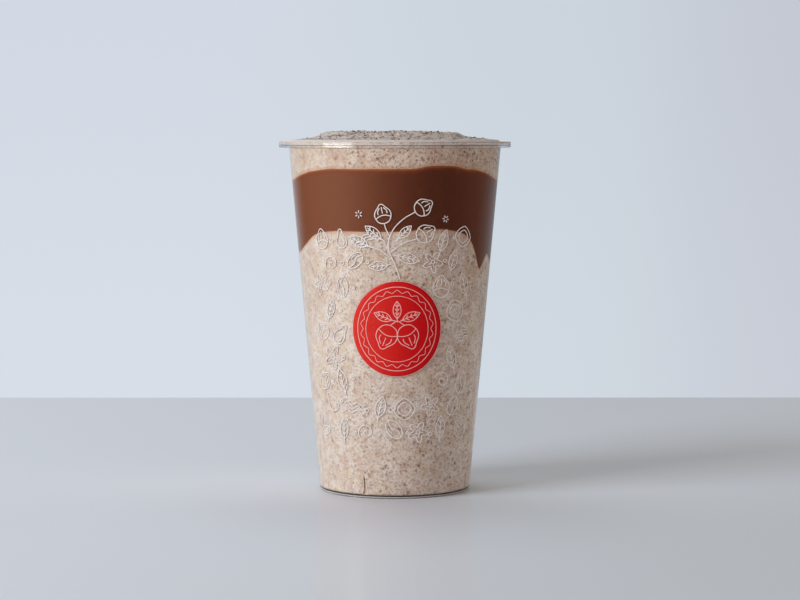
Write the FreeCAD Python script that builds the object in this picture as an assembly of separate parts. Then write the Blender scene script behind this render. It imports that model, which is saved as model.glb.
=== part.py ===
import FreeCAD, Part
import math
import os

# A thick hazelnut milkshake with a band of chocolate sauce, in a clear moulded
# drinks cup with a flat sealing rim. Millimetres, +Z up, origin on the table
# under the middle of the cup. Angles run from the front (-Y) towards +X.

# Cup: a thin tapered wall with a flat rim, a turned-down lip and a foot ring
cup_height = 143.0
mouth_diameter = 87.2        # outside of the wall, at the height of the rim
foot_diameter = 61.8
wall_thickness = 0.55
rim_overhang = 3.9           # from the outside of the wall to the outside of the lip
rim_thickness = 0.6
lip_depth = 2.3              # from the top of the rim to the edge of the lip
lip_thickness = 0.6
foot_ring_width = 0.9
floor_raise = 0.7            # the floor's underside above the table
floor_thickness = 0.6
floor_corner_radius = 1.0    # inside, where the floor meets the wall
gate_diameter = 3.0          # moulding gate pip under the middle of the floor
gate_depth = 0.3

# Stacking ribs that stand up the inside of the wall from the floor
rib_count = 4
rib_first_angle = -23.0
rib_height = 7.1
rib_width = 0.7
rib_depth = 0.7
rib_foot_width = 2.8
rib_foot_height = 2.2

# Layers at the wall: the level where each face lies, and the lobes where it
# hangs lower or stands higher. A lobe is (angle, half width in degrees,
# sharpness, rise): 1.5 is a pointed drip, 2 a round lobe, 4 a flat-topped one.
top_layer_depth = 10.6       # from the rim down to the chocolate
chocolate_depth = 24.8       # the chocolate band, where it lies level
chocolate_top_lobes = {
    "left_sag": (-97.0, 38.0, 3.0, -5.4),
    "front_swell": (26.0, 13.0, 4.0, 1.3),
    "right_sag": (97.0, 36.0, 3.0, -5.6),
    "back_swell": (175.0, 30.0, 3.0, 1.0),
}
chocolate_low_lobes = {
    "left_sag": (-99.0, 40.0, 4.0, -10.6),
    "front_swell": (22.0, 14.0, 4.0, 0.8),
    "pointed_drip": (60.5, 9.0, 1.4, -14.6),
    "shake_peak": (70.5, 4.5, 2.0, 2.4),
    "right_sag": (100.0, 34.0, 3.5, -15.6),
    "back_drip": (163.0, 13.0, 1.8, -7.0),
    "back_sag": (-158.0, 24.0, 3.0, -3.5),
}
layer_fade_power = 3.0       # how fast the lobes die away from the wall inwards
layer_grid_step = 1.6

# Heaped top: a gentle skirt from the wall, then a low mound with soft poured
# folds that wind round it
heap_edge_rise = 0.75        # above the rim, where the shake meets the wall
skirt_rise = 1.65
skirt_width = 19.0
mound_rise = 2.0
mound_inset = 19.6           # from the wall in to the mound's top edge
mound_slope_width = 8.5
mound_wander = 1.6           # how far the mound's edge leaves a circle
fold_pitch = 14.0
fold_height = 0.35
lump_height = 0.3
lump_lengths = (17.0, 11.0, 23.0)
lump_angles = (20.0, 80.0, 140.0)
heap_grid_step = 2.2

# Worked out from the sizes above
mouth_radius = mouth_diameter / 2
foot_radius = foot_diameter / 2
rim_radius = mouth_radius + rim_overhang
edge_round = min(0.25, 0.4 * min(rim_thickness, lip_thickness, foot_ring_width))
floor_top = floor_raise + floor_thickness
chocolate_top_level = cup_height - top_layer_depth
chocolate_low_level = chocolate_top_level - chocolate_depth
heap_height = heap_edge_rise + skirt_rise + mound_rise
fill_reach = heap_height + 6.0   # how far the filling blank stands above the rim

UP = FreeCAD.Vector(0, 0, 1)
ORIGIN = FreeCAD.Vector(0, 0, 0)


def wall_radius(z):
    """Outside radius of the tapered wall at height z."""
    return foot_radius + (mouth_radius - foot_radius) * z / cup_height


def inner_radius(z):
    """Inside radius of the wall at height z."""
    return wall_radius(z) - wall_thickness


def rounded_outline(corners):
    """Closed wire in the XZ plane through corners (radius, height, rounding)."""
    points = [FreeCAD.Vector(r, 0, z) for r, z, _ in corners]
    starts, ends, arcs = [], [], []
    for index, (_, _, rounding) in enumerate(corners):
        here = points[index]
        back = (points[index - 1] - here).normalize()
        ahead = (points[(index + 1) % len(points)] - here).normalize()
        half_turn = back.getAngle(ahead) / 2
        reach = rounding / math.tan(half_turn) if rounding else 0.0
        starts.append(here + back * reach)
        ends.append(here + ahead * reach)
        if rounding:
            bisector = (back + ahead).normalize()
            middle = here + bisector * (rounding / math.sin(half_turn) - rounding)
            arcs.append(Part.Arc(starts[-1], middle, ends[-1]).toShape())
        else:
            arcs.append(None)
    edges = []
    for index, arc in enumerate(arcs):
        if arc:
            edges.append(arc)
        following = starts[(index + 1) % len(starts)]
        edges.append(Part.LineSegment(ends[index], following).toShape())
    return Part.Wire(edges)


def revolved(corners):
    """Solid of revolution about the cup's axis."""
    return Part.Face(rounded_outline(corners)).revolve(ORIGIN, UP, 360)


def turned(shape, angle):
    """Copy of a shape turned about the cup's axis, from the front towards +X."""
    copy = shape.copy()
    copy.rotate(ORIGIN, UP, angle)
    return copy


def cup_shell():
    """Wall, floor, foot ring, rim and lip in one revolved outline."""
    lip_bottom = cup_height - lip_depth
    lip_inside = rim_radius - lip_thickness
    rim_underside = cup_height - rim_thickness
    ring_inside = foot_radius - foot_ring_width
    gate_radius = gate_diameter / 2
    gate_bottom = floor_raise - gate_depth
    return revolved([
        (0.0, gate_bottom, 0.0),
        (gate_radius, gate_bottom, 0.0),
        (gate_radius, floor_raise, 0.0),
        (ring_inside, floor_raise, edge_round),
        (ring_inside, 0.0, edge_round),
        (foot_radius, 0.0, edge_round),
        (wall_radius(rim_underside), rim_underside, edge_round),
        (lip_inside, rim_underside, edge_round),
        (lip_inside, lip_bottom, edge_round),
        (rim_radius, lip_bottom, edge_round),
        (rim_radius, cup_height, edge_round),
        (inner_radius(cup_height), cup_height, edge_round),
        (inner_radius(floor_top), floor_top, floor_corner_radius),
        (0.0, floor_top, 0.0),
    ])


def stacking_rib():
    """Rib at angle 0: a thin upright fin with a flared foot, against the wall."""
    top = floor_top + rib_height
    low = floor_top - floor_thickness / 2
    half_fin, half_foot = rib_width / 2, rib_foot_width / 2
    foot_top = floor_top + rib_foot_height
    outline = [(-half_foot, low), (-half_foot, floor_top), (-half_fin, foot_top), (-half_fin, top),
               (half_fin, top), (half_fin, foot_top), (half_foot, floor_top), (half_foot, low)]
    face_y = -inner_radius(floor_top) + rib_depth
    corners = [FreeCAD.Vector(x, face_y, z) for x, z in outline]
    fin = Part.Face(Part.makePolygon(corners + corners[:1]))
    blank = fin.extrude(FreeCAD.Vector(0, -2 * rib_depth - (inner_radius(top) - inner_radius(low)), 0))
    # the rib ends inside the wall, half way through it
    middle = wall_thickness / 2
    bound = revolved([
        (0.0, low, 0.0),
        (inner_radius(low) + middle, low, 0.0),
        (inner_radius(top) + middle, top, 0.0),
        (0.0, top, 0.0),
    ])
    return blank.common(bound)


def stacking_ribs():
    """All the ribs, evenly spaced round the wall."""
    rib = stacking_rib()
    return [turned(rib, rib_first_angle + 360.0 * number / rib_count) for number in range(rib_count)]


def fill_blank():
    """What the cup's inside can hold, standing on straight up past the rim."""
    top = cup_height + fill_reach
    return revolved([
        (0.0, floor_top, 0.0),
        (inner_radius(floor_top), floor_top, floor_corner_radius),
        (inner_radius(cup_height), cup_height, 0.0),
        (inner_radius(cup_height), top, 0.0),
        (0.0, top, 0.0),
    ])


def angle_at(x, y):
    """Angle of a point in degrees: 0 at the front, 90 at +X."""
    return math.degrees(math.atan2(x, -y))


def lobe(angle, centre, half_width, sharpness):
    """Bump of height 1 at its centre angle that dies away to each side."""
    away = abs((angle - centre + 180.0) % 360.0 - 180.0)
    return math.exp(-(away / half_width) ** sharpness)


def layer_height(x, y, level, lobes):
    """Height of a layer's face: lobed at the wall, level in the middle."""
    fade = (math.hypot(x, y) / inner_radius(level)) ** layer_fade_power
    angle = angle_at(x, y)
    rise = sum(height * lobe(angle, centre, width, sharp)
               for centre, width, sharp, height in lobes.values())
    return level + rise * fade


def eased(share):
    """Smooth step from 0 to 1."""
    share = min(max(share, 0.0), 1.0)
    return share * share * (3.0 - 2.0 * share)


def heap_top(x, y):
    """Height of the heaped top: skirt, mound, poured folds and lumps."""
    radius = math.hypot(x, y)
    turn = math.radians(angle_at(x, y))
    from_wall = inner_radius(cup_height) - radius
    wander = mound_wander * (math.sin(2 * turn + 1.0) + math.sin(5 * turn)) / 2
    mound = eased((from_wall + wander - mound_inset + mound_slope_width) / mound_slope_width)
    height = cup_height + heap_edge_rise + skirt_rise * eased(from_wall / skirt_width) + mound_rise * mound
    # the folds are one spiral that fades out at the very middle
    calm = mound * min(radius / fold_pitch, 1.0)
    height += fold_height * calm * math.cos(turn + 2 * math.pi * radius / fold_pitch)
    for length, heading in zip(lump_lengths, lump_angles):
        along = x * math.cos(math.radians(heading)) + y * math.sin(math.radians(heading))
        height += lump_height * mound * math.sin(2 * math.pi * along / length)
    return height


def smooth_face(height_at, step):
    """B-spline face through heights on a square grid wider than the cup's mouth."""
    half = math.ceil((mouth_radius + 1.0) / step)
    grid = [[FreeCAD.Vector(i * step, j * step, height_at(i * step, j * step))
             for j in range(-half, half + 1)]
            for i in range(-half, half + 1)]
    surface = Part.BSplineSurface()
    surface.interpolate(grid)
    return surface.toShape()


def space_above(face):
    """Everything over a face, up past the filling blank."""
    return face.extrude(FreeCAD.Vector(0, 0, cup_height + 2 * fill_reach))


def make_nodes():
    """Every solid of the drink, by node name."""
    ribs = stacking_ribs()
    cup = cup_shell().fuse(ribs).removeSplitter()
    filling = fill_blank().cut(ribs)

    over_lower = space_above(smooth_face(
        lambda x, y: layer_height(x, y, chocolate_low_level, chocolate_low_lobes), layer_grid_step))
    over_chocolate = space_above(smooth_face(
        lambda x, y: layer_height(x, y, chocolate_top_level, chocolate_top_lobes), layer_grid_step))
    over_heap = space_above(smooth_face(heap_top, heap_grid_step))

    return {
        "cup": cup,
        "shake_lower": filling.cut(over_lower),
        "chocolate_layer": filling.common(over_lower).cut(over_chocolate),
        "shake_top": filling.common(over_chocolate).cut(over_heap),
    }


os.makedirs("parts", exist_ok=True)
for name, shape in make_nodes().items():
    solids = shape.Solids
    print(name, "solids", len(solids), "valid", shape.isValid(), "ml %.2f" % (shape.Volume / 1000),
          "z %.2f to %.2f" % (shape.BoundBox.ZMin, shape.BoundBox.ZMax))
    (solids[0] if len(solids) == 1 else Part.makeCompound(solids)).exportStep(f"parts/{name}.step")
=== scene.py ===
import math
import random

import bmesh
import bpy
from mathutils import Euler, Matrix, Vector, noise


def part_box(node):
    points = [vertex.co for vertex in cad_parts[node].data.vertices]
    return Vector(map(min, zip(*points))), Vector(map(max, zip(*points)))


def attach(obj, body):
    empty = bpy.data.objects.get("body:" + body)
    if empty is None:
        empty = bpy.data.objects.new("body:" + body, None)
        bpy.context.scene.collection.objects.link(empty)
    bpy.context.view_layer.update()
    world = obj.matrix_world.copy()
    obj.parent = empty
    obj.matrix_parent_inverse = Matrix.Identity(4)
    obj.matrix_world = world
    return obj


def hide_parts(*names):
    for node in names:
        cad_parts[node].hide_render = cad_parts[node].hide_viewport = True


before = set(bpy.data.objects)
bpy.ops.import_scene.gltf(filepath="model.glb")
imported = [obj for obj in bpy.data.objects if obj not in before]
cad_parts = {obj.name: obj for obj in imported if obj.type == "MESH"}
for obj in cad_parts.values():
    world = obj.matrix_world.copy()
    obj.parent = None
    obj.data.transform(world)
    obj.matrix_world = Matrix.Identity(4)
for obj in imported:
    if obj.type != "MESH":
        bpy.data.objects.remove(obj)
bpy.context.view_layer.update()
mm = 0.001
scene = bpy.context.scene
print("frame loaded:", sorted(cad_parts))


def paint(red, green, blue):
    # 0 to 255 as seen on a screen, turned to the linear values that shaders take
    def linear(level):
        share = level / 255
        return share / 12.92 if share <= 0.04045 else ((share + 0.055) / 1.055) ** 2.4
    return (linear(red), linear(green), linear(blue), 1.0)


def eased(share):
    share = min(max(share, 0.0), 1.0)
    return share * share * (3.0 - 2.0 * share)


def angleAt(x, y):
    return math.degrees(math.atan2(x, -y))  # 0 at the front, 90 at +X


def onCircle(radius, angle, z):
    turn = math.radians(angle)
    return Vector((radius * math.sin(turn), -radius * math.cos(turn), z))


def newPiece(name, bm, material, smooth=True):
    mesh = bpy.data.meshes.new(name)
    bm.to_mesh(mesh)
    bm.free()
    mesh.materials.append(material)
    mesh.polygons.foreach_set("use_smooth", [smooth] * len(mesh.polygons))
    piece = bpy.data.objects.new(name, mesh)
    scene.collection.objects.link(piece)
    return piece


# sizes shared by the cup and what fills it
cup = {
    "mouthRadius": 43.6 * mm,   # outside of the wall at the rim
    "footRadius": 30.9 * mm,
    "wall": 0.55 * mm,
    "floorTop": 1.3 * mm,
    "bite": 0.16 * mm,          # how far the filling reaches into the wall
}
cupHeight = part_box("cup")[1].z

layerShape = {
    "fadePower": 3,                                    # flat in the middle, lobed at the wall
    "waver": [(0.16, 0.22 * mm), (0.55, 0.10 * mm)],   # waves to a millimetre, height
}
chocolateTop = {
    "level": cupHeight - 10.6 * mm,
    "lobes": [  # angle, half width, sharpness, rise
        (-97.0, 38.0, 3.0, -5.4 * mm), (26.0, 13.0, 4.0, 1.3 * mm),
        (97.0, 36.0, 3.0, -5.6 * mm), (175.0, 30.0, 3.0, 1.0 * mm)],
    "seed": 3.0,
}
chocolateLow = {
    "level": cupHeight - 35.4 * mm,
    "lobes": [
        (-99.0, 40.0, 4.0, -10.6 * mm), (22.0, 14.0, 4.0, 0.8 * mm), (60.5, 9.0, 1.4, -14.6 * mm),
        (70.5, 4.5, 2.0, 2.4 * mm), (100.0, 34.0, 3.5, -15.6 * mm), (163.0, 13.0, 1.8, -7.0 * mm),
        (-158.0, 24.0, 3.0, -3.5 * mm)],
    "seed": 11.0,
}
heap = {
    "edgeRise": 0.75 * mm,
    "skirtRise": 1.6 * mm,
    "skirtWidth": 19.0 * mm,
    "moundRise": 1.35 * mm,
    "moundInset": 19.0 * mm,
    "moundSlope": 8.5 * mm,
    "wander": 1.6 * mm,
    "leftReach": 3.6 * mm,        # the mound comes nearer to the wall on the left
    "foldPitch": 14.0 * mm,       # the poured spiral
    "foldHeight": 0.25 * mm,
    "lumpHeight": 0.15 * mm,
    "lumps": [(17.0 * mm, 20.0), (11.0 * mm, 80.0), (23.0 * mm, 140.0)],     # length, heading
    "peaks": [  # across, back, rise and reach in millimetres
        (-24.0, 0.0, 0.75, 5.0), (2.0, 4.0, 0.3, 7.0), (17.5, 2.0, 0.5, 1.6), (24.0, 0.0, -0.5, 6.0)],
    "edgeRound": 0.9 * mm,
    "beadWidth": 2.8 * mm,        # smooth shake next to the wall
    "beadWander": 2.6,            # millimetres
    "beadPitch": 0.22,            # waves to a millimetre, as in the lists below
    "beadStart": 0.35,
    "ridges": [(0.16, 0.55 * mm), (0.38, 0.34 * mm)],     # pitch, height
    "ridgeShift": Vector((4.0, 9.0, 2.0)),
    "ridgeSharpness": 3.0,
    "ridgeMiddle": 0.75,
    "skirtShare": 0.45,           # how high the ridges are on the skirt, next to the mound
    "creaseSharpness": 8.0,
    "breakPitch": 0.21,           # where the creases break off
    "breakShift": Vector((7.0, 1.0, 5.0)),
    "grain": [(0.9, 0.16 * mm), (1.9, 0.10 * mm)],
}


def wallRadius(z):
    return cup["footRadius"] + (cup["mouthRadius"] - cup["footRadius"]) * z / cupHeight


def fillRadius(z):
    return wallRadius(min(z, cupHeight)) - cup["wall"] + cup["bite"]


def layerHeight(x, y, layer):
    # the level of a layer's face: lobed at the wall, flat in the middle
    radius = math.hypot(x, y)
    angle = angleAt(x, y)
    fade = (radius / (wallRadius(layer["level"]) - cup["wall"])) ** layerShape["fadePower"]
    rise = 0.0
    for centre, halfWidth, sharpness, height in layer["lobes"]:
        away = abs((angle - centre + 180.0) % 360.0 - 180.0)
        rise += height * math.exp(-(away / halfWidth) ** sharpness)
    where = Vector((x, y, layer["seed"])) / mm
    waver = sum(height * noise.noise(where * pitch) for pitch, height in layerShape["waver"])
    return layer["level"] + (rise + waver) * fade


def heapRoughness(x, y):
    # 0 on the smooth bead at the wall, 1 on the rough heap
    fromWall = wallRadius(cupHeight) - cup["wall"] - math.hypot(x, y)
    where = Vector((x, y, 7.0)) / mm
    wander = heap["beadWander"] * noise.noise(where * heap["beadPitch"])
    return eased((fromWall / mm + wander) * mm / heap["beadWidth"] - heap["beadStart"])


def ridgeFlank(where, pitch):
    # 0 along the creases between the ridges, and more on both sides of them
    return abs(noise.noise(where * pitch + heap["ridgeShift"]))


def heapCreases(x, y):
    # up to 1 in the sharp creases between the ridges, and 0 elsewhere
    where = Vector((x, y, 0.0)) / mm
    broken = 0.5 + noise.noise(where * heap["breakPitch"] + heap["breakShift"])
    flank = min(ridgeFlank(where, pitch) for pitch, _ in heap["ridges"])
    return max(broken - heap["creaseSharpness"] * flank, 0.0)


def heapHeight(x, y):
    radius = math.hypot(x, y)
    turn = math.radians(angleAt(x, y))
    fromWall = wallRadius(cupHeight) - cup["wall"] - radius
    wander = heap["wander"] * (math.sin(2 * turn + 1.0) + math.sin(5 * turn)) / 2
    wander += heap["leftReach"] * max(0.0, -math.sin(turn))
    mound = eased((fromWall + wander - heap["moundInset"] + heap["moundSlope"]) / heap["moundSlope"])
    height = cupHeight + heap["edgeRise"] + heap["skirtRise"] * eased(fromWall / heap["skirtWidth"])
    height += heap["moundRise"] * mound
    fold = mound * min(radius / heap["foldPitch"], 1.0)
    height += heap["foldHeight"] * fold * math.cos(turn + 2 * math.pi * radius / heap["foldPitch"])
    for length, heading in heap["lumps"]:
        along = x * math.cos(math.radians(heading)) + y * math.sin(math.radians(heading))
        height += heap["lumpHeight"] * mound * math.sin(2 * math.pi * along / length)
    for across, back, rise, reach in heap["peaks"]:
        away = math.hypot(x / mm - across, (y / mm - back) / 2) / reach
        height += rise * mm * math.exp(-away * away)
    # ridges with sharp creases between them, and the grain of the crushed nuts
    rough = heapRoughness(x, y)
    where = Vector((x, y, 0.0)) / mm
    relief = heap["skirtShare"] + (1.0 - heap["skirtShare"]) * mound
    for pitch, size in heap["ridges"]:
        ridge = min(ridgeFlank(where, pitch) * heap["ridgeSharpness"], 1.0)
        height += size * rough * relief * (math.sqrt(ridge) - heap["ridgeMiddle"])
    for pitch, size in heap["grain"]:
        height += size * rough * noise.noise(where * pitch)
    # the edge rolls over to the wall
    roll = min(max(1.0 - fromWall / heap["edgeRound"], 0.0), 1.0)
    return height - heap["edgeRise"] * (1.0 - math.sqrt(1.0 - roll * roll))


def newMaterial(name):
    material = bpy.data.materials.new(name)
    material.use_nodes = True
    tree = material.node_tree
    return material, tree, tree.nodes["Principled BSDF"]


def feed(tree, socket, value):
    if hasattr(value, "is_output"):
        tree.links.new(value, socket)
    else:
        socket.default_value = value


def setInputs(node, values):
    for name, value in values.items():
        node.inputs[name].default_value = value


def mathNode(tree, operation, first, second):
    node = tree.nodes.new("ShaderNodeMath")
    node.operation = operation
    feed(tree, node.inputs[0], first)
    feed(tree, node.inputs[1], second)
    return node.outputs[0]


def product(tree, *factors):
    result = factors[0]
    for factor in factors[1:]:
        result = mathNode(tree, "MULTIPLY", result, factor)
    return result


def vectorNode(tree, operation, *values):
    node = tree.nodes.new("ShaderNodeVectorMath")
    node.operation = operation
    for socket, value in zip(node.inputs, values):
        feed(tree, socket, value)
    return node.outputs[0]


def mixColour(tree, factor, first, second, blend="MIX"):
    node = tree.nodes.new("ShaderNodeMix")
    node.data_type = "RGBA"
    node.blend_type = blend
    feed(tree, node.inputs["Factor"], factor)
    feed(tree, node.inputs[6], first)       # the colour sockets A, B and Result
    feed(tree, node.inputs[7], second)
    return node.outputs[2]


def tintColour(tree, factor, colour, tint):
    return mixColour(tree, factor, colour, tint, "MULTIPLY")


def ramp(tree, value, start, end, low=0.0, high=1.0):
    # value from start to end becomes low to high, eased and held at both ends
    node = tree.nodes.new("ShaderNodeMapRange")
    node.interpolation_type = "SMOOTHSTEP"
    for name, given in (("Value", value), ("From Min", start), ("From Max", end), ("To Min", low),
                        ("To Max", high)):
        feed(tree, node.inputs[name], given)
    return node.outputs["Result"]


def band(tree, value, edges):
    # 1 between the middle two edges, easing to 0 at the outer two
    start, full, fading, end = edges
    return product(tree, ramp(tree, value, start, full), ramp(tree, value, end, fading))


def noiseNode(tree, points, pitch, detail=2.0, roughness=0.5, shift=0.0):
    # pitch is in blotches to a millimetre; shift gives each layer a pattern of its own
    node = tree.nodes.new("ShaderNodeTexNoise")
    setInputs(node, {"Scale": pitch, "Detail": detail, "Roughness": roughness})
    moved = vectorNode(tree, "ADD", points, (shift, 2.3 * shift, 3.1 * shift))
    tree.links.new(moved, node.inputs["Vector"])
    return node.outputs["Fac"]


def objectPoints(tree):
    # Object coordinates in millimetres
    where = tree.nodes.new("ShaderNodeTexCoord")
    sized = tree.nodes.new("ShaderNodeMapping")
    setInputs(sized, {"Scale": (1 / mm,) * 3})
    tree.links.new(where.outputs["Object"], sized.inputs["Vector"])
    return sized.outputs["Vector"]


def axesOf(tree, vector):
    split = tree.nodes.new("ShaderNodeSeparateXYZ")
    tree.links.new(vector, split.inputs[0])
    return split.outputs


def attribute(tree, name):
    node = tree.nodes.new("ShaderNodeAttribute")
    node.attribute_name = name
    return node.outputs["Fac"]


def groupTree(name, inputs, outputs):
    tree = bpy.data.node_groups.new(name, "ShaderNodeTree")
    for label, kind in inputs:
        tree.interface.new_socket(label, in_out="INPUT", socket_type=kind)
    for label, kind in outputs:
        tree.interface.new_socket(label, in_out="OUTPUT", socket_type=kind)
    return tree, tree.nodes.new("NodeGroupInput").outputs, tree.nodes.new("NodeGroupOutput").inputs


def useGroup(tree, group, points, **values):
    node = tree.nodes.new("ShaderNodeGroup")
    node.node_tree = group
    tree.links.new(points, node.inputs["Points"])
    setInputs(node, values)
    return node.outputs[0]


def makeNutSpecks():
    # bits of ground nut: ragged dots of mixed size, one to a cell and only in some cells
    shape = {"bendPitch": 1.8, "smallest": 0.55, "spread": 0.9, "core": 0.3}
    tree, given, result = groupTree(
        "nutSpecks",
        [("Points", "NodeSocketVector"), ("Pitch", "NodeSocketFloat"), ("Size", "NodeSocketFloat"),
         ("Share", "NodeSocketFloat"), ("Bend", "NodeSocketFloat"), ("Shift", "NodeSocketFloat")],
        [("Mask", "NodeSocketFloat")])
    bend = tree.nodes.new("ShaderNodeTexNoise")
    setInputs(bend, {"Scale": shape["bendPitch"], "Detail": 2.0})
    tree.links.new(given["Points"], bend.inputs["Vector"])
    centred = vectorNode(tree, "SUBTRACT", bend.outputs["Color"], (0.5, 0.5, 0.5))
    pushed = vectorNode(tree, "MULTIPLY_ADD", centred, given["Bend"], given["Points"])
    cells = tree.nodes.new("ShaderNodeTexVoronoi")
    tree.links.new(vectorNode(tree, "ADD", pushed, given["Shift"]), cells.inputs["Vector"])
    tree.links.new(given["Pitch"], cells.inputs["Scale"])
    drawn = tree.nodes.new("ShaderNodeSeparateColor")
    tree.links.new(cells.outputs["Color"], drawn.inputs[0])
    spread = mathNode(tree, "ADD", product(tree, drawn.outputs[0], shape["spread"]), shape["smallest"])
    reach = product(tree, given["Size"], spread)
    dots = ramp(tree, cells.outputs["Distance"], product(tree, reach, shape["core"]), reach, 1.0, 0.0)
    present = mathNode(tree, "LESS_THAN", drawn.outputs[1], given["Share"])
    tree.links.new(product(tree, dots, present), result["Mask"])
    return tree


nutSpecks = makeNutSpecks()


def addSpecks(tree, points, colour, kind, shown=1.0):
    pitch, size, share, bend, shift, strength, tone = kind
    mask = useGroup(tree, nutSpecks, points, Pitch=pitch, Size=size, Share=share, Bend=bend, Shift=shift)
    return mixColour(tree, product(tree, mask, shown, strength), colour, tone), mask


def makeShake():
    look = {
        "cream": paint(235, 219, 204),
        "blotches": [  # colour, pitch per mm, detail, roughness, shift, start, end, strength
            (paint(223, 201, 182), 0.16, 4.0, 0.6, 0.0, 0.38, 0.64, 1.0),
            (paint(226, 203, 166), 0.13, 2.0, 0.5, 40.0, 0.52, 0.72, 0.5),
            (paint(217, 186, 170), 0.17, 2.0, 0.5, 90.0, 0.54, 0.72, 0.65),
            (paint(226, 203, 166), 0.55, 2.0, 0.5, 25.0, 0.50, 0.72, 0.45),
            (paint(184, 142, 116), 0.34, 4.0, 0.65, 55.0, 0.50, 0.64, 0.38)],
        # pitch per mm, size, share of cells, bend, shift, strength, colour
        "flecks": (0.7, 0.4, 0.4, 0.8, 17.0, 0.4, paint(247, 240, 230)),
        "bits": [
            (0.72, 0.54, 0.85, 1.3, 31.0, 0.47, paint(156, 110, 82)),
            (1.20, 0.54, 0.85, 0.8, 5.0, 0.43, paint(134, 90, 64)),
            (0.55, 0.36, 0.60, 1.3, 63.0, 0.68, paint(98, 58, 38))],
        "crowdPitch": 0.22,                # the bits gather in some places and thin out in others
        "thinnedOut": 0.5,
        "litSideStrength": 0.36,              # painted light: they are drawn fainter on the lit side, as if washed out there
        "brightSide": (-34.0, 0.0),        # millimetres, as are all the places below
        "settledStrength": 1.15,           # they settle towards the bottom
        "settling": (65.0, 20.0),
        "upperStrength": 1.3,
        "upperTint": (0.96, 0.93, 0.895, 1.0),     # above the sauce it is browner
        "aboveSauce": (120.0, 130.0),
        "nearSauce": paint(206, 160, 128),
        "sauceReach": 1.8,
        "sauceStrength": 0.6,
        "foam": paint(209, 197, 187),      # the heap above the rim is greyer
        "foamStart": (0.4, 1.4),
        "foamStrength": 0.5,
        "foamWetness": 0.7,
        # painted shade in the creases of the heap
        "creaseShade": paint(104, 76, 60),
        "creaseShadeStrength": 0.75,
        "film": paint(214, 206, 197),      # the smooth bead along the rim
        "filmStart": (-0.3, 0.1),
        "bumpHeight": 0.12 * mm,
    }
    material, tree, shader = newMaterial("hazelnutShake")
    points = objectPoints(tree)
    x, _, z = axesOf(tree, points)
    colour = look["cream"]
    for tone, pitch, detail, roughness, shift, start, end, strength in look["blotches"]:
        spread = noiseNode(tree, points, pitch, detail, roughness, shift)
        colour = mixColour(tree, ramp(tree, spread, start, end, 0.0, strength), colour, tone)
    colour, relief = addSpecks(tree, points, colour, look["flecks"])
    crowd = noiseNode(tree, points, look["crowdPitch"], 2.0, 0.5, 15.0)
    # how strongly the bits show, with painted light fading them on the lit left side
    shown = product(tree, ramp(tree, crowd, 0.3, 0.65, look["thinnedOut"], 1.0),
                    ramp(tree, x, *look["brightSide"], look["litSideStrength"], 1.0),
                    ramp(tree, z, *look["settling"], 1.0, look["settledStrength"]),
                    ramp(tree, z, *look["aboveSauce"], 1.0, look["upperStrength"]))
    for kind in look["bits"]:
        colour, mask = addSpecks(tree, points, colour, kind, shown)
        relief = mathNode(tree, "ADD", relief, mask)
    warmth = ramp(tree, attribute(tree, "fromSauce"), 0.0, look["sauceReach"], look["sauceStrength"], 0.0)
    colour = mixColour(tree, warmth, colour, look["nearSauce"])
    colour = tintColour(tree, ramp(tree, z, *look["aboveSauce"]), colour, look["upperTint"])
    # above the rim: foam with painted shade in its creases, and a smooth bead next to the wall
    fromRim = mathNode(tree, "SUBTRACT", z, cupHeight / mm)
    above = ramp(tree, fromRim, *look["foamStart"])
    colour = mixColour(tree, product(tree, above, look["foamStrength"]), colour, look["foam"])
    creases = product(tree, attribute(tree, "creaseShade"), look["creaseShadeStrength"])
    colour = mixColour(tree, creases, colour, look["creaseShade"])
    bead = product(tree, attribute(tree, "bead"), ramp(tree, fromRim, *look["filmStart"]))
    colour = mixColour(tree, bead, colour, look["film"])
    tree.links.new(colour, shader.inputs["Base Color"])
    bump = tree.nodes.new("ShaderNodeBump")
    setInputs(bump, {"Distance": look["bumpHeight"], "Strength": 0.5})
    tree.links.new(relief, bump.inputs["Height"])
    tree.links.new(bump.outputs["Normal"], shader.inputs["Normal"])
    tree.links.new(product(tree, above, look["foamWetness"]), shader.inputs["Coat Weight"])
    setInputs(shader, {"Roughness": 0.5, "Specular IOR Level": 0.2, "Coat Roughness": 0.25})
    return material


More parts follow.
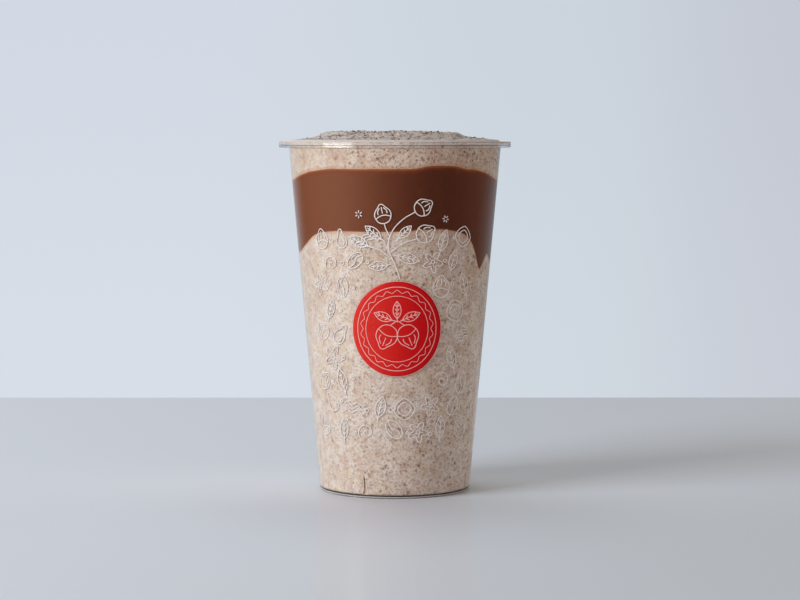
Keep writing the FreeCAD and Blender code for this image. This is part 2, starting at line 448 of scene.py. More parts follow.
def makeChocolate():
    look = {
        "body": paint(99, 51, 32),
        "deep": paint(93, 46, 28),
        "light": paint(129, 76, 51),      # painted light: lighter on the left, where the key lamp shines
        "litSide": (12.0, -26.0),       # millimetres, as are all the places and depths below
        "rightReflection": paint(120, 76, 58),    # painted reflection: lighter towards the right edge, where the pale wall behind shows
        "rightReflectionSide": (18.0, 42.0),
        "streak": paint(122, 66, 42),
        "streakStrength": 0.3,
        "red": paint(134, 66, 36),        # under the top edge
        "redDepth": 3.0,
        "redStrength": 0.85,
        "film": paint(172, 104, 68),      # where it thins out over the pale shake
        "filmDepth": 1.5,
        "filmStrength": 0.9,
        "lowFilmDepth": 0.8,
        "lowFilmStrength": 0.55,
    }
    material, tree, shader = newMaterial("chocolateSauce")
    points = objectPoints(tree)
    x = axesOf(tree, points)["X"]
    body = mixColour(tree, noiseNode(tree, points, 0.09, 3.0), look["body"], look["deep"])
    # painted light on the lit left side
    body = mixColour(tree, ramp(tree, x, *look["litSide"]), body, look["light"])
    # painted reflection towards the right edge
    body = mixColour(tree, ramp(tree, x, *look["rightReflectionSide"]), body, look["rightReflection"])
    streaks = noiseNode(tree, points, 0.2, 4.0, 0.6, 22.0)
    body = mixColour(tree, ramp(tree, streaks, 0.5, 0.75, 0.0, look["streakStrength"]), body, look["streak"])
    ragged = noiseNode(tree, points, 0.28, 3.0, 0.6, 8.0)
    depth = product(tree, mathNode(tree, "ADD", ragged, 0.35), look["redDepth"])
    fromTop = attribute(tree, "fromTop")
    colour = mixColour(tree, ramp(tree, fromTop, 0.0, depth, look["redStrength"], 0.0), body, look["red"])
    depth = product(tree, mathNode(tree, "ADD", ragged, 0.2), look["filmDepth"])
    edge = ramp(tree, fromTop, 0.0, depth, look["filmStrength"], 0.0)
    fromBottom = attribute(tree, "fromBottom")
    lowEdge = ramp(tree, fromBottom, 0.0, look["lowFilmDepth"], look["lowFilmStrength"], 0.0)
    colour = mixColour(tree, mathNode(tree, "MAXIMUM", edge, lowEdge), colour, look["film"])
    tree.links.new(colour, shader.inputs["Base Color"])
    setInputs(shader, {"Roughness": 0.45, "Specular IOR Level": 0.1})
    return material


def makeClearPlastic():
    look = {
        "tint": (0.985, 0.99, 0.99, 1.0),
        "refraction": 1.49,
        "wallRoughness": 0.1,
        "rimRoughness": 0.08,
        "milk": paint(226, 220, 214),     # thick plastic at the rim and the foot looks milky
        "rimMilk": 0.2,
        "rimStart": (-1.5, -1.2),         # millimetres from the top of the rim
        "footMilk": 0.4,
        "footStart": (1.0, 0.7),          # millimetres above the table
        "line": paint(92, 74, 64),        # painted shade: dark lines at the fold of the lip, in the shadow under it and at the foot's edge
        "shadeLineStrength": 0.3,
        "fold": (-1.65, -1.5, -1.3, -1.15),
        "under": (-2.85, -2.65, -2.25, -2.1),
        "footShadowLine": (0.5, 0.25),
        "clear": (0.94, 0.95, 0.95, 1.0),
    }
    material, tree, shader = newMaterial("clearPlastic")
    z = axesOf(tree, objectPoints(tree))["Z"]
    fromRim = mathNode(tree, "SUBTRACT", z, cupHeight / mm)
    setInputs(shader, {"Roughness": look["wallRoughness"], "Base Color": look["tint"],
                       "Transmission Weight": 1.0, "IOR": look["refraction"]})
    milky = tree.nodes.new("ShaderNodeBsdfPrincipled")
    # painted shade lines at the fold, under the lip and at the foot's edge
    line = mathNode(tree, "MAXIMUM", band(tree, fromRim, look["fold"]), band(tree, fromRim, look["under"]))
    line = mathNode(tree, "MAXIMUM", line, ramp(tree, z, *look["footShadowLine"]))
    tree.links.new(mixColour(tree, line, look["milk"], look["line"]), milky.inputs["Base Color"])
    setInputs(milky, {"Roughness": look["rimRoughness"], "IOR": look["refraction"]})
    share = ramp(tree, fromRim, *look["rimStart"], 0.0, look["rimMilk"])
    share = mathNode(tree, "MAXIMUM", share, ramp(tree, z, *look["footStart"], 0.0, look["footMilk"]))
    share = mathNode(tree, "MAXIMUM", share, product(tree, line, look["shadeLineStrength"]))
    body = tree.nodes.new("ShaderNodeMixShader")
    tree.links.new(share, body.inputs[0])
    tree.links.new(shader.outputs[0], body.inputs[1])
    tree.links.new(milky.outputs[0], body.inputs[2])
    # lamps shine through to what is inside, and so does light that comes back from it
    clear = tree.nodes.new("ShaderNodeBsdfTransparent")
    setInputs(clear, {"Color": look["clear"]})
    rays = tree.nodes.new("ShaderNodeLightPath")
    surface = body.outputs[0]
    for kind in ("Is Shadow Ray", "Is Diffuse Ray"):
        blend = tree.nodes.new("ShaderNodeMixShader")
        tree.links.new(rays.outputs[kind], blend.inputs[0])
        tree.links.new(surface, blend.inputs[1])
        tree.links.new(clear.outputs[0], blend.inputs[2])
        surface = blend.outputs[0]
    tree.links.new(surface, tree.nodes["Material Output"].inputs["Surface"])
    return material


def makeInk(name, lit, far, worn, roughness):
    # screen-printed ink: worn in places, and with painted light and shade: another colour on the side away
    # from the lamp
    look = {"farSide": (-18.0, 12.0), "wearPitch": 0.8, "wear": 0.5}
    material, tree, shader = newMaterial(name)
    points = objectPoints(tree)
    colour = mixColour(tree, ramp(tree, axesOf(tree, points)["X"], *look["farSide"]), lit, far)
    thin = ramp(tree, noiseNode(tree, points, look["wearPitch"], 3.0, 0.6), 0.4, 0.7, 0.0, look["wear"])
    tree.links.new(mixColour(tree, thin, colour, worn), shader.inputs["Base Color"])
    setInputs(shader, {"Roughness": roughness, "Specular IOR Level": 0.12})
    return material


shakeMaterial = makeShake()
chocolateMaterial = makeChocolate()
plasticMaterial = makeClearPlastic()
whiteInk = makeInk("whiteInk", paint(238, 232, 226), paint(248, 240, 232), paint(228, 219, 210), 0.5)
lineInk = makeInk("lineInk", paint(250, 190, 180), paint(246, 182, 176), paint(240, 168, 160), 0.5)
redInk = makeInk("redInk", paint(222, 54, 44), paint(212, 6, 14), paint(206, 22, 24), 0.4)
print("materials made")


# the filling: three spun solids whose faces meet
filling = {
    "steps": 360,
    "wallRows": 26,
    "capRows": 16,
    "capBend": 2.5,             # rows lie closer together towards the wall
    "topWallRows": 12,
    "heapRows": 100,
    "heapBend": 1.25,
    "heapSteps": 480,
    "creaseShadeGain": 2.0,
    "mergeDistance": 1e-6,
    "cornerRadius": 1.0 * mm,
    "sharpCorner": 50.0,        # degrees
}


def spunBlank(profile, steps):
    # profile is a line of (reach, share) points from the axis out and back to it
    bm = bmesh.new()
    verts = [bm.verts.new((reach, 0.0, share)) for reach, share in profile]
    edges = [bm.edges.new(pair) for pair in zip(verts, verts[1:])]
    bmesh.ops.spin(bm, geom=verts + edges, cent=(0, 0, 0), axis=(0, 0, 1), angle=2 * math.pi,
                   steps=steps, use_merge=True)
    bmesh.ops.remove_doubles(bm, verts=bm.verts[:], dist=filling["mergeDistance"])
    bmesh.ops.recalc_face_normals(bm, faces=bm.faces[:])
    return bm


def shareLine(count, bend=1.0):
    return [(step / count) ** bend for step in range(count + 1)]


def reachLine(count, bend):
    # from the axis to the wall, closer together towards the wall
    return [1.0 - share for share in reversed(shareLine(count, bend))]


def drumProfile(wallShares, topReaches):
    # floor from the axis out, up the wall, and back in over the top
    floor = [(reach, 0.0) for reach in reachLine(filling["capRows"], filling["capBend"])[:-1]]
    wall = [(1.0, share) for share in wallShares]
    return floor + wall + [(reach, 1.0) for reach in topReaches[-2::-1]]


def shapeDrum(bm, lowAt, highAt, marks):
    # sends each point of the blank to its place between a lower and an upper face, and
    # marks how far it lies from one of them, 0 for the lower and 1 for the upper
    layers = {name: bm.verts.layers.float.new(name) for name in marks}
    for vert in bm.verts:
        reach = min(math.hypot(vert.co.x, vert.co.y), 1.0)
        angle = angleAt(vert.co.x, vert.co.y)
        share = vert.co.z
        z = chocolateTop["level"]
        for _ in range(3):  # the wall leans, so radius and height settle together
            flat = onCircle(reach * fillRadius(z), angle, 0.0)
            low, high = lowAt(flat.x, flat.y), highAt(flat.x, flat.y)
            z = low + (high - low) * share
        vert.co = onCircle(reach * fillRadius(z), angle, z)
        for name, face in marks.items():
            vert[layers[name]] = abs(z - (low, high)[face]) / mm
    for edge in bm.edges:
        if edge.is_manifold and math.degrees(edge.calc_face_angle()) > filling["sharpCorner"]:
            edge.smooth = False


def floorHeight(x, y):
    # the floor turns up to the wall with a small radius
    corner = filling["cornerRadius"]
    reach = math.hypot(x, y) - (fillRadius(cup["floorTop"] + corner) - corner)
    reach = min(max(reach, 0.0), corner)
    return cup["floorTop"] + corner - math.sqrt(corner * corner - reach * reach)


def lowFace(x, y):
    return layerHeight(x, y, chocolateLow)


def topFace(x, y):
    return layerHeight(x, y, chocolateTop)


flatDrum = drumProfile(shareLine(filling["wallRows"]), reachLine(filling["capRows"], filling["capBend"]))
lowerBlank = spunBlank(flatDrum, filling["steps"])
shapeDrum(lowerBlank, floorHeight, lowFace, {"fromSauce": 1})
shakeLower = newPiece("shakeBelow", lowerBlank, shakeMaterial)

chocolateBlank = spunBlank(flatDrum, filling["steps"])
shapeDrum(chocolateBlank, lowFace, topFace, {"fromTop": 1, "fromBottom": 0})
chocolateBand = newPiece("chocolateBand", chocolateBlank, chocolateMaterial)

heapDrum = drumProfile(shareLine(filling["topWallRows"]),
                       reachLine(filling["heapRows"], filling["heapBend"]))
topBlank = spunBlank(heapDrum, filling["heapSteps"])
shapeDrum(topBlank, topFace, heapHeight, {"fromSauce": 0})
# bead marks the smooth shake next to the wall; creaseShade marks where painted shade darkens the heap's
# creases
beadLayer, creaseShadeLayer = (topBlank.verts.layers.float.new(name) for name in ("bead", "creaseShade"))
for vert in topBlank.verts:
    rough = heapRoughness(vert.co.x, vert.co.y)
    vert[beadLayer] = 1.0 - rough
    if vert.co.z > cupHeight:
        vert[creaseShadeLayer] = rough * eased(filling["creaseShadeGain"] * heapCreases(vert.co.x, vert.co.y))
shakeTop = newPiece("shakeHeap", topBlank, shakeMaterial)


# the stacking ribs of the cup stand in grooves of the shake
rib = {
    "count": 4,
    "firstAngle": -23.0,
    "top": 8.4 * mm,
    "halfWidth": 0.35 * mm,
    "depth": 0.7 * mm,
    "halfFoot": 1.4 * mm,
    "footTop": 3.5 * mm,
    "overlap": 0.06 * mm,   # how far the shake reaches into the rib
    "cutBelow": 1.0 * mm,
    "cutOutward": 3.0 * mm,
}


def cutGrooves(piece):
    bm = bmesh.new()
    inside = rib["overlap"]
    foot, width = rib["halfFoot"] - inside, rib["halfWidth"] - inside
    outline = [(-foot, cup["floorTop"] - rib["cutBelow"]), (-foot, cup["floorTop"]),
               (-width, rib["footTop"]), (-width, rib["top"] - inside)]
    outline += [(-x, z) for x, z in reversed(outline)]
    faceY = -(wallRadius(cup["floorTop"]) - cup["wall"] - rib["depth"] + inside)
    for number in range(rib["count"]):
        face = bm.faces.new([bm.verts.new((x, faceY, z)) for x, z in outline])
        outer = bmesh.ops.extrude_face_region(bm, geom=[face])["geom"]
        moved = [part for part in outer if isinstance(part, bmesh.types.BMVert)]
        bmesh.ops.translate(bm, verts=moved, vec=(0, -rib["cutOutward"], 0))
        angle = rib["firstAngle"] + 360.0 * number / rib["count"]
        bmesh.ops.rotate(bm, verts=moved + face.verts[:], cent=(0, 0, 0),
                         matrix=Matrix.Rotation(math.radians(angle), 3, "Z"))
    bmesh.ops.recalc_face_normals(bm, faces=bm.faces[:])
    cutter = newPiece("ribCutter", bm, shakeMaterial, smooth=False)
    modifier = piece.modifiers.new("grooves", "BOOLEAN")
    modifier.operation = "DIFFERENCE"
    modifier.solver = "EXACT"
    modifier.object = cutter
    finished = piece.evaluated_get(bpy.context.evaluated_depsgraph_get())
    piece.data = bpy.data.meshes.new_from_object(finished)
    piece.modifiers.clear()
    bpy.data.objects.remove(cutter)


cutGrooves(shakeLower)

for piece, node, slot in ((shakeLower, "shake_lower", "hazelnut_shake"),
                          (chocolateBand, "chocolate_layer", "chocolate_sauce"),
                          (shakeTop, "shake_top", "hazelnut_shake")):
    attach(piece, "root")
    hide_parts(node)
print("filling made:", [len(piece.data.polygons) for piece in (shakeLower, chocolateBand, shakeTop)])

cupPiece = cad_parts["cup"]
cupPiece.data.materials.clear()
cupPiece.data.materials.append(plasticMaterial)


# crumbs of nut on the heap
crumbKinds = {
    "nutCrumbs": {
        "count": 700, "smallest": 0.20 * mm, "largest": 0.60 * mm, "seed": 5,
        "light": paint(200, 180, 160), "dark": paint(150, 122, 100)},
    "skinCrumbs": {
        "count": 760, "smallest": 0.16 * mm, "largest": 0.52 * mm, "seed": 8,
        "light": paint(118, 88, 70), "dark": paint(72, 50, 41)},
}
crumbShape = {
    "inset": 4.5 * mm,     # none lie on the smooth bead
    "smallBias": 2.5,      # more small ones than large
    "lift": 0.15,          # of the crumb's size
    "tilt": 0.5,           # radians
    "jitter": 0.25,
    "length": (0.8, 1.5),
    "width": (0.6, 1.0),
    "thickness": (0.4, 0.8),
}


def makeCrumbs(name, kind):
    draw = random.Random(kind["seed"])
    bm = bmesh.new()
    spread = kind["largest"] - kind["smallest"]
    tilt, jitter = crumbShape["tilt"], crumbShape["jitter"]
    for _ in range(kind["count"]):
        size = kind["smallest"] + spread * draw.random() ** crumbShape["smallBias"]
        spot = onCircle((wallRadius(cupHeight) - crumbShape["inset"]) * math.sqrt(draw.random()),
                        draw.uniform(-180, 180), 0)
        spot.z = heapHeight(spot.x, spot.y) + crumbShape["lift"] * size
        turned = Euler([draw.uniform(-tilt, tilt), draw.uniform(-tilt, tilt), draw.uniform(0, 6.28)])
        sides = [size * draw.uniform(*crumbShape[side]) for side in ("length", "width", "thickness")]
        place = Matrix.Translation(spot) @ turned.to_matrix().to_4x4() @ Matrix.Diagonal(sides + [1.0])
        made = bmesh.ops.create_icosphere(bm, subdivisions=1, radius=1.0, matrix=place)
        for vert in made["verts"]:
            vert.co += (vert.co - spot) * draw.uniform(-jitter, jitter)
    material, tree, shader = newMaterial(name + "Finish")
    points = objectPoints(tree)
    shade = ramp(tree, noiseNode(tree, points, 0.9, 3.0, 0.6), 0.35, 0.65)
    tree.links.new(mixColour(tree, shade, kind["light"], kind["dark"]), shader.inputs["Base Color"])
    setInputs(shader, {"Roughness": 0.55})
    crumbs = newPiece(name, bm, material, smooth=False)
    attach(crumbs, "root")


for name, kind in crumbKinds.items():
    makeCrumbs(name, kind)
print("crumbs made")


# print on the outside of the wall
printWork = {
    "lineWidth": 0.42 * mm,
    "badgeLineWidth": 0.36 * mm,
    "lift": 0.03 * mm,           # middle of the ink above the wall
    "halfThickness": 0.03 * mm,
    "left": -33.0 * mm,
    "right": 34.0 * mm,
    "bottom": 28.0 * mm,
    "top": 106.0 * mm,
    "rowStep": 9.6 * mm,
    "columnStep": 10.6 * mm,
    "sprigHalfWidth": 11.0 * mm,   # the middle above the badge is left to the sprig
    "acrossJitter": 0.9,           # millimetres, as in the next lines
    "upJitter": 1.0,
    "dotUpJitter": 1.5,
    "dotRadius": (0.4, 0.75),
    "turnJitter": 50,              # degrees
    "sizeJitter": (0.88, 1.1),
    "seed": 21,
}
badge = {
    "across": 0.9 * mm,      # along the wall, to the right of the middle
    "height": 69.0 * mm,
    "radius": 19.1 * mm,
    "squeeze": 0.953,        # it is a little narrower than tall
    "clearance": 5.6 * mm,   # to the middle of the nearest motif
    "dotClearance": 1.5 * mm,
    "discRise": 0.03 * mm,   # over the rest of the print
    "lineRise": 0.07 * mm,
    "rings": [(1.0, 0.6), (0.88, 0.9), (0.69, 0.75)],      # share of the radius, line weight
    "scallops": 22,
    "scallopRing": 0.785,
    "scallopDepth": 0.03,
    "scallopWeight": 0.7,
}


def evenTurns(count):
    return [2 * math.pi * step / count for step in range(count)]


def atTurn(reach, turn):
    return (reach * math.sin(turn), reach * math.cos(turn))


def circlePoints(radius, count, across=0.0, up=0.0, squeeze=1.0):
    return [(across + squeeze * x, up + z) for x, z in (atTurn(radius, turn) for turn in evenTurns(count))]


# a motif is a list of (points, closed) strokes about one unit tall each way
def hazelnutStrokes():
    right = [(0.4, 0.68), (0.8, 0.12), (0.68, -0.52), (0.34, -0.84)]
    shell = [(0, 1.02)] + right + [(-x, z) for x, z in reversed(right)]
    cap = [(-0.76, -0.34), (-0.38, -0.16), (0, -0.1), (0.38, -0.16), (0.76, -0.34)]
    grain = [([(side * 0.2, 0.66), (side * 0.46, 0.28), (side * 0.44, 0.02)], False) for side in (-1, 1)]
    return [(shell, True), (cap, False), ([(0, 0.76), (0, 0.1)], False)] + grain


def leafStrokes():
    side = [(0, -1.0), (0.4, -0.35), (0.38, 0.35), (0, 1.0)]
    veins = [([(0, start), (hand * 0.25, start + 0.26)], False)
             for start in (-0.55, -0.1, 0.35) for hand in (-1, 1)]
    mirrored = [(-x, z) for x, z in side]
    return [(side, False), (mirrored, False), ([(0.05, -1.35), (0, -0.9), (0, 0.75)], False)] + veins


def beanStrokes():
    outline = circlePoints(1.0, 8, squeeze=0.62)
    shine = [(-0.38, 0.42), (-0.44, 0.1), (-0.38, -0.2)]
    return [(outline, True), ([(0.1, -0.94), (0.2, -0.3), (-0.12, 0.3), (0.04, 0.94)], False), (shine, False)]


def swirlStrokes():
    turns = [step * 0.55 for step in range(19)]
    return [([(0.1 * turn * math.cos(turn), 0.1 * turn * math.sin(turn)) for turn in turns], False)]


def rayStrokes(count, start, end):
    return [([atTurn(start, turn), atTurn(end, turn)], False) for turn in evenTurns(count)]


def sparkStrokes():
    return rayStrokes(6, 0.3, 0.8)


def blossomStrokes():
    petals = [atTurn(0.72 + 0.26 * math.cos(5 * turn), turn) for turn in evenTurns(20)]
    return [(petals, True), (circlePoints(0.17, 6), True)] + rayStrokes(5, 0.26, 0.5)


def dropStrokes():
    right = [(0.3, 0.42), (0.58, -0.22), (0.4, -0.76)]
    outline = [(0, 1.0)] + right + [(0, -0.94)] + [(-x, z) for x, z in reversed(right)]
    return [(outline, True), ([(0.28, -0.14), (0.3, -0.42), (0.12, -0.64)], False)]


def waveStrokes():
    steps = [-1 + 0.25 * step for step in range(9)]
    return [([(x, up + 0.14 * math.sin(2 * math.pi * x)) for x in steps], False) for up in (-0.34, 0.0, 0.34)]


def squareStrokes():
    strokes = []
    for half in (0.82, 0.52):
        corner = 0.8 * half
        strokes.append(([(corner, -half), (half, -corner), (half, corner), (corner, half), (-corner, half),
                         (-half, corner), (-half, -corner), (-corner, -half)], True))
    return strokes


motifs = {
    "hazelnut": hazelnutStrokes(), "leaf": leafStrokes(), "bean": beanStrokes(), "swirl": swirlStrokes(),
    "spark": sparkStrokes(), "blossom": blossomStrokes(), "drop": dropStrokes(), "wave": waveStrokes(),
    "square": squareStrokes(),
}


def newSheet(name, lineWidth):
    # a flat drawing: across and up in the plane, later wrapped on the wall
    sheet = bpy.data.curves.new(name, "CURVE")
    sheet.dimensions = "2D"
    sheet.fill_mode = "NONE"
    sheet.bevel_depth = lineWidth / 2
    sheet.bevel_resolution = 1
    sheet.resolution_u = 5
    sheet.use_fill_caps = True
    return sheet


def addStroke(sheet, points, closed, place=Matrix.Identity(4), weight=1.0):
    spline = sheet.splines.new("BEZIER")
    spline.bezier_points.add(len(points) - 1)
    for point, (across, up) in zip(spline.bezier_points, points):
        point.co = place @ Vector((across, up, 0.0))
        point.radius = weight
        point.handle_left_type = point.handle_right_type = "AUTO"
    spline.use_cyclic_u = closed


def addMotif(sheet, name, across, up, size, turn):
    place = (Matrix.Translation((across, up, 0)) @ Matrix.Rotation(math.radians(turn), 4, "Z")
             @ Matrix.Scale(size, 4))
    for points, closed in motifs[name]:
        addStroke(sheet, points, closed, place)


def wrapOnWall(mesh, lift):
    # across becomes an arc of the wall, up stays up, and thickness points outwards
    bm = bmesh.new()
    bm.from_mesh(mesh)
    for vert in bm.verts:
        radius = wallRadius(vert.co.y)
        vert.co = onCircle(radius + lift + vert.co.z, math.degrees(vert.co.x / radius), vert.co.y)
    bmesh.ops.recalc_face_normals(bm, faces=bm.faces[:])
    return bm


def printSheet(sheet, material, lift):
    drawing = bpy.data.objects.new(sheet.name, sheet)
    scene.collection.objects.link(drawing)
    mesh = bpy.data.meshes.new_from_object(drawing.evaluated_get(bpy.context.evaluated_depsgraph_get()))
    bpy.data.objects.remove(drawing)
    mesh.transform(Matrix.Diagonal((1, 1, printWork["halfThickness"] / sheet.bevel_depth, 1)))
    piece = newPiece(sheet.name, wrapOnWall(mesh, lift), material)
    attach(piece, "root")


def fromBadge(x, z):
    # how far a place on the wall lies from the middle of the badge
    return math.hypot((x - badge["across"]) / badge["squeeze"], z - badge["height"])


def makeScatter():
    draw = random.Random(printWork["seed"])
    sheet = newSheet("wallPrint", printWork["lineWidth"])
    sizes = {"hazelnut": 4.4, "leaf": 4.7, "bean": 4.2, "swirl": 4.0, "blossom": 4.6, "drop": 4.2,
             "wave": 4.4, "square": 3.9}
    order = ["hazelnut", "leaf", "swirl", "bean", "blossom", "leaf", "hazelnut", "drop", "wave", "leaf",
             "square", "blossom", "bean"]
    count = 0
    rows = int((printWork["top"] - printWork["bottom"]) / printWork["rowStep"]) + 1
    for row in range(rows):
        up = printWork["bottom"] + row * printWork["rowStep"]
        across = printWork["left"] + (row % 2) * printWork["columnStep"] / 2
        while across < printWork["right"]:
            x = across + draw.uniform(-printWork["acrossJitter"], printWork["acrossJitter"]) * mm
            z = up + draw.uniform(-printWork["upJitter"], printWork["upJitter"]) * mm
            turn = draw.uniform(-printWork["turnJitter"], printWork["turnJitter"])
            name = order[count % len(order)]
            size = sizes[name] * draw.uniform(*printWork["sizeJitter"]) * mm
            inSprig = z > badge["height"] and abs(x) < printWork["sprigHalfWidth"]
            if fromBadge(x, z) > badge["radius"] + badge["clearance"] and not inSprig:
                addMotif(sheet, name, x, z, size, turn)
                x += printWork["columnStep"] / 2
                z += draw.uniform(-printWork["dotUpJitter"], printWork["dotUpJitter"]) * mm
                if fromBadge(x, z) > badge["radius"] + badge["dotClearance"] and x < printWork["right"]:
                    addStroke(sheet, circlePoints(draw.uniform(*printWork["dotRadius"]) * mm, 6, x, z), True)
                count += 1
            across += printWork["columnStep"]
    # a sprig that stands up into the chocolate
    for line in ([(2, 89), (0, 95), (-2.5, 101), (-1.5, 107), (3, 112.5), (8, 115.5)],
                 [(-1.8, 99.5), (3, 103), (9, 105)], [(-0.6, 96.5), (-6, 100.5), (-11, 102)],
                 [(-1.8, 105.5), (-3.6, 109), (-4.2, 111)]):
        addStroke(sheet, [(x * mm, z * mm) for x, z in line], False)
    for name, x, z, size, turn in (("hazelnut", 12.4, 107.0, 4.3, -58), ("hazelnut", 11.4, 117.4, 4.1, -60),
                                   ("hazelnut", -4.8, 114.6, 4.0, 12), ("leaf", -14.6, 103.8, 4.4, 66),
                                   ("leaf", -8.6, 107.4, 4.2, 52), ("leaf", 5.4, 97.2, 4.6, -104),
                                   ("leaf", 4.0, 107.6, 3.6, -46), ("leaf", -6.6, 94.2, 4.0, 96),
                                   ("spark", -14.6, 114.6, 2.0, 0), ("spark", 21.0, 112.6, 1.8, 20)):
        addMotif(sheet, name, x * mm, z * mm, size * mm, turn)
    printSheet(sheet, whiteInk, printWork["lift"])


def makeBadge():
    bm = spunBlank([(badge["radius"] * share, 0.0) for share in shareLine(20)], 96)
    bmesh.ops.solidify(bm, geom=bm.faces[:], thickness=2 * printWork["halfThickness"])
    bmesh.ops.scale(bm, vec=(badge["squeeze"], 1, 1), verts=bm.verts[:])
    bmesh.ops.translate(bm, vec=(badge["across"], badge["height"], 0), verts=bm.verts[:])
    flat = bpy.data.meshes.new("badgeFlat")
    bm.to_mesh(flat)
    bm.free()
    disc = newPiece("badgeDisc", wrapOnWall(flat, printWork["lift"] + badge["discRise"]), redInk)
    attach(disc, "root")

    sheet = newSheet("badgeLines", printWork["badgeLineWidth"])
    place = (Matrix.Translation((badge["across"], badge["height"], 0))
             @ Matrix.Diagonal((badge["squeeze"], 1, 1, 1)))
    for share, weight in badge["rings"]:
        addStroke(sheet, circlePoints(badge["radius"] * share, 24), True, place, weight)
    # a scalloped ring between the two plain ones
    scallops, depth = badge["scallops"], badge["scallopDepth"]
    ring = [atTurn(badge["radius"] * (badge["scallopRing"] + depth * math.cos(scallops * turn)), turn)
            for turn in evenTurns(4 * scallops)]
    addStroke(sheet, ring, True, place, badge["scallopWeight"])
    # two nuts hanging under three leaves
    for line in ([(0, 3.4), (-1.4, 2.4), (-2.6, 1.6)], [(0, 3.4), (1.6, 2.4), (2.8, 1.6)]):
        addStroke(sheet, [(badge["across"] + x * mm, badge["height"] + z * mm) for x, z in line], False)
    for name, x, z, size, turn in (("hazelnut", -4.3, -3.0, 5.2, 158), ("hazelnut", 4.5, -3.0, 5.2, 202),
                                   ("leaf", -5.6, 5.0, 3.9, 68), ("leaf", 5.6, 5.0, 3.9, -68),
                                   ("leaf", 0.0, 7.6, 3.6, 0)):
        addMotif(sheet, name, badge["across"] + x * mm, badge["height"] + z * mm, size * mm, turn)
    printSheet(sheet, lineInk, printWork["lift"] + badge["lineRise"])


makeScatter()
makeBadge()
print("print made")


# table, room, lamps and camera
room = {
    "backEdge": 0.318,
    "frontEdge": -0.30,
    "halfWidth": 0.45,
    "table": paint(225, 228, 230),
    "gloss": 0.42,
    "glossRoughness": 0.12,
    "wallLeft": paint(215, 222, 232),
    "wallMiddle": paint(208, 217, 225),
    "wallRight": paint(201, 205, 215),
    "wallUpper": (0.95, 0.95, 0.96, 1.0),      # the wall darkens a little upwards
    "leftToMiddle": (-0.09, 0.07),             # slopes of the line of sight
    "middleToRight": (0.07, 0.18),
    "upwards": (-0.12, 0.07),
    "wallRadius": 2.2,
    "wallLow": -0.3,
    "wallHigh": 2.2,
    "wallTurns": range(80, 295, 5),            # the arc behind the cup
    "rightShine": (0.5, 2.1, 0.0, 0.45),       # from so far back to so far, strength there
    "leftShine": (1.2, 2.1, 0.0, 0.8),
    "frontGlow": (0.50, 0.40, 0.375, 1.0),     # light of the room before and behind the cup
    "backGlow": (0.25, 0.18, 0.10, 1.0),
    "glowDepth": 0.8,
}


def makeTable():
    bm = bmesh.new()
    bmesh.ops.create_grid(bm, x_segments=1, y_segments=1, size=1.0)
    depth = room["backEdge"] - room["frontEdge"]
    bmesh.ops.scale(bm, vec=(room["halfWidth"], depth / 2, 1.0), verts=bm.verts[:])
    bmesh.ops.translate(bm, vec=(0, room["backEdge"] - depth / 2, 0), verts=bm.verts[:])
    material, _, shader = newMaterial("tableTop")
    setInputs(shader, {"Base Color": room["table"], "Roughness": 0.6, "Specular IOR Level": 0.0,
                       "Coat Weight": room["gloss"], "Coat Roughness": room["glossRoughness"]})
    newPiece("tableTop", bm, material, smooth=False)


def makeMirroredWall():
    # the pale wall as glossy surfaces see it, bright behind the cup and fading to both sides
    bm = bmesh.new()
    foot = [bm.verts.new(onCircle(room["wallRadius"], turn, room["wallLow"])) for turn in room["wallTurns"]]
    low = [bm.edges.new(pair) for pair in zip(foot, foot[1:])]
    raised = bmesh.ops.extrude_edge_only(bm, edges=low)["geom"]
    bmesh.ops.translate(bm, vec=(0, 0, room["wallHigh"] - room["wallLow"]),
                        verts=[part for part in raised if isinstance(part, bmesh.types.BMVert)])
    material, tree, _ = newMaterial("mirroredWall")
    x, y, _ = axesOf(tree, objectPoints(tree))
    metres = product(tree, y, mm)
    onRight = mathNode(tree, "GREATER_THAN", x, 0.0)
    strength = mixColour(tree, onRight, ramp(tree, metres, *room["leftShine"]),
                         ramp(tree, metres, *room["rightShine"]))
    glow = tree.nodes.new("ShaderNodeEmission")
    setInputs(glow, {"Color": room["wallMiddle"]})
    tree.links.new(strength, glow.inputs["Strength"])
    tree.links.new(glow.outputs[0], tree.nodes["Material Output"].inputs["Surface"])
    material.cycles.emission_sampling = "NONE"
    wall = newPiece("mirroredWall", bm, material, smooth=False)
    wall.visible_camera = wall.visible_diffuse = wall.visible_transmission = wall.visible_shadow = False


def makeRoom():
    world = bpy.data.worlds.new("room")
    scene.world = world
    world.use_nodes = True
    world.cycles_visibility.glossy = False
    tree = world.node_tree
    x, y, z = axesOf(tree, tree.nodes.new("ShaderNodeTexCoord").outputs["Generated"])
    wall = mixColour(tree, ramp(tree, x, *room["leftToMiddle"]), room["wallLeft"], room["wallMiddle"])
    wall = mixColour(tree, ramp(tree, x, *room["middleToRight"]), wall, room["wallRight"])
    wall = tintColour(tree, ramp(tree, z, *room["upwards"]), wall, room["wallUpper"])
    # the glow lights the scene, and the camera sees the wall, straight or through the plastic
    depth = room["glowDepth"]
    glow = mixColour(tree, ramp(tree, y, 0.0, -depth), (0, 0, 0, 1), room["frontGlow"])
    glow = mixColour(tree, ramp(tree, y, 0.0, depth), glow, room["backGlow"])
    rays = tree.nodes.new("ShaderNodeLightPath")
    direct = mathNode(tree, "LESS_THAN", rays.outputs["Diffuse Depth"], 0.5)
    seen = mathNode(tree, "MAXIMUM", rays.outputs["Is Camera Ray"], rays.outputs["Is Transmission Ray"])
    tree.links.new(mixColour(tree, product(tree, seen, direct), glow, wall),
                   tree.nodes["Background"].inputs["Color"])


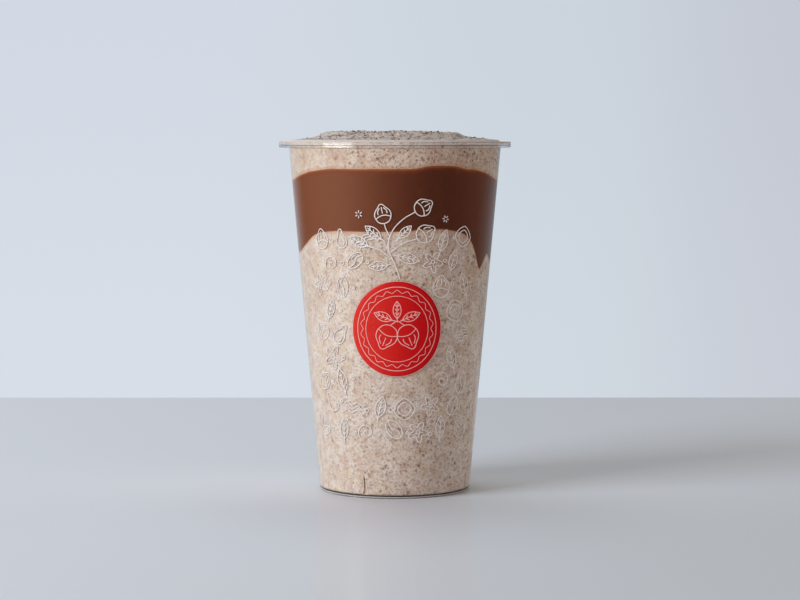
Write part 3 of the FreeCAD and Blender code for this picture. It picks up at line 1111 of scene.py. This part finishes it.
lamps = {  # place, aim, width, height, watts, colour, seen in reflections
    "keyPanel": (onCircle(1.1, -57.5, 0.80), Vector((0, 0, 0.5)), 0.60, 0.40, 6.9,
                 (0.84, 0.985, 1.19), True),
    "lowKeyPanel": (onCircle(1.1, -57.5, 0.33), Vector((0, 0, 0.33)), 0.60, 0.56, 5.2,
                    (1.0, 1.0, 0.97), True),
    "behindPanel": (Vector((-0.6, 0.75, 0.45)), Vector((0, 0.1, 0.05)), 0.9, 0.8, 1.35,
                    (0.98, 0.83, 1.3), False),
    "overheadPanel": (Vector((0, 0.36, 0.97)), Vector((0, 0.13, 0)), 0.8, 0.5, 2.75,
                      (0.89, 1.04, 1.1), False),
    "sidePanel": (onCircle(0.9, 115, 0.12), Vector((0, 0, 0.12)), 0.3, 0.14, 1.6,
                  (1.0, 0.99, 0.97), False),
    "leftPanel": (onCircle(0.9, -120, 0.12), Vector((0, 0, 0.12)), 0.3, 0.14, 0.7,
                  (0.85, 1.0, 1.1), False),
}


def addLamps():
    for name, (place, aim, width, height, power, colour, mirrored) in lamps.items():
        data = bpy.data.lights.new(name, "AREA")
        data.shape = "RECTANGLE"
        data.size, data.size_y = width, height
        data.energy = power
        data.color = colour
        lamp = bpy.data.objects.new(name, data)
        scene.collection.objects.link(lamp)
        lamp.location = place
        lamp.rotation_euler = (aim - place).to_track_quat("-Z", "Y").to_euler()
        lamp.visible_glossy = lamp.visible_transmission = mirrored


def makeCamera():
    view = {"distance": 0.9277, "eye": 0.1463, "pitch": 4.22, "turn": 0.13, "focal": 101.5, "sensor": 36.0}
    data = bpy.data.cameras.new("camera")
    data.lens = view["focal"]
    data.sensor_width = view["sensor"]
    camera = bpy.data.objects.new("camera", data)
    scene.collection.objects.link(camera)
    camera.location = (0, -view["distance"], view["eye"])
    camera.rotation_euler = (math.radians(90 - view["pitch"]), 0, math.radians(-view["turn"]))
    scene.camera = camera


makeTable()
makeMirroredWall()
makeRoom()
addLamps()
makeCamera()
scene.view_settings.view_transform = "Standard"
print("stage made")
